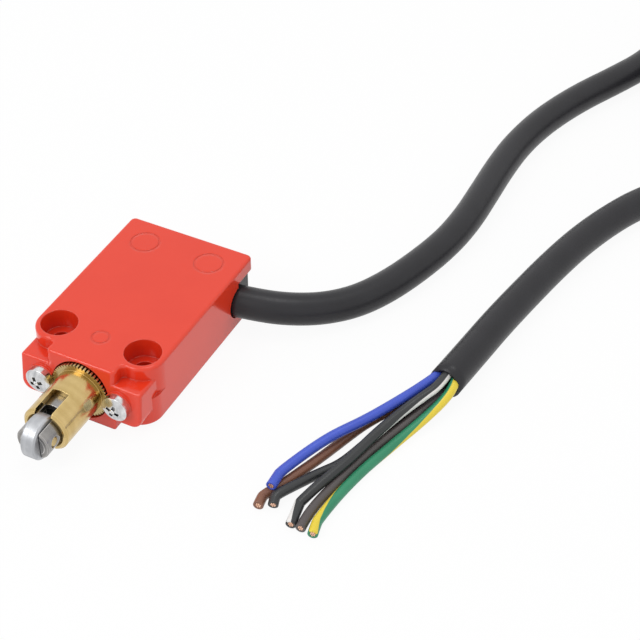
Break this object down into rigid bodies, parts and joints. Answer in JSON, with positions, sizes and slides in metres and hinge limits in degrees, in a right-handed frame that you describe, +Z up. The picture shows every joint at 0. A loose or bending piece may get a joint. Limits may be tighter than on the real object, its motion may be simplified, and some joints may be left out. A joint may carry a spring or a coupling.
{
  "type": "roller limit switch",
  "caption": "Compact limit switch with a roller plunger in a toothed brass turret, a flat red metal housing with fixing holes and a moulded-on cable with stripped conductors.",
  "frame": {"origin": "midway between the two fixing holes, on the mounting face", "axes": "+X across the switch towards the cable outlet, +Y from the roller to the rear, +Z up from the mounting face along the fixing holes"},
  "size_m": [0.1597, 0.2429, 0.0162],
  "materials": {
    "red_paint": "glossy",
    "brass": "polished",
    "steel": "brushed",
    "zinc_plate": "bright",
    "spring_steel": "satin",
    "black_moulding": "satin",
    "cable_sheath": "satin",
    "seal_rubber": "matte",
    "cream_moulding": "satin",
    "contact_metal": "satin",
    "resin": "glossy",
    "blue_insulation": "satin",
    "brown_insulation": "satin",
    "black_insulation": "satin",
    "black_white_insulation": "satin",
    "grey_insulation": "satin",
    "green_yellow_insulation": "satin"
  },
  "bodies": {
    "base": {"housing": "red_paint", "rear_cover": "red_paint", "cover_seal": "seal_rubber", "cover_screws": "zinc_plate", "turret_seal": "seal_rubber", "turret_screws": "zinc_plate", "plunger_spring": "spring_steel", "contact_base": "cream_moulding", "fixed_contacts": "contact_metal", "carrier_spring": "spring_steel", "potting": "resin", "strain_relief": "black_moulding", "cable_lead_out": "cable_sheath", "cable_coil": "cable_sheath", "cable_lead_in": "cable_sheath", "cable_tie": "black_moulding", "conductor_blue": "blue_insulation", "conductor_brown": "brown_insulation", "conductor_black": "black_insulation", "conductor_black_white": "black_white_insulation", "conductor_grey": "grey_insulation", "conductor_green_yellow": "green_yellow_insulation"},
    "turret": {"turret": "brass", "guide_pin": "brass"},
    "plunger": {"plunger": "steel", "plunger_o_ring": "seal_rubber", "roller_axle": "brass"},
    "roller": {"roller": "steel"},
    "carrier": {"contact_carrier": "cream_moulding", "moving_contacts": "contact_metal"}
  },
  "joints": [
    {"name": "turret_swivel", "type": "hinge", "parent": "base", "child": "turret", "pos_m": [0, 0, 0.0071], "axis": [0, 1, 0], "range_deg": [-90, 90]},
    {"name": "plunger_slide", "type": "slide", "parent": "turret", "child": "plunger", "axis": [0, 1, 0], "range_m": [0, 0.005], "stiffness_N_per_m": 1500, "springref_m": -0.004, "deforming": ["plunger_spring"]},
    {"name": "roller_spin", "type": "hinge", "parent": "plunger", "child": "roller", "pos_m": [0, -0.0235, 0.0071], "axis": [1, 0, 0], "continuous": true},
    {"name": "carrier_slide", "type": "slide", "parent": "base", "child": "carrier", "axis": [0, 1, 0], "range_m": [0, 0.005], "stiffness_N_per_m": 300, "springref_m": -0.004, "deforming": ["carrier_spring"]}
  ],
  "couplings": [
    {"joint": "carrier_slide", "follows": "plunger_slide", "ratio": 1}
  ]
}
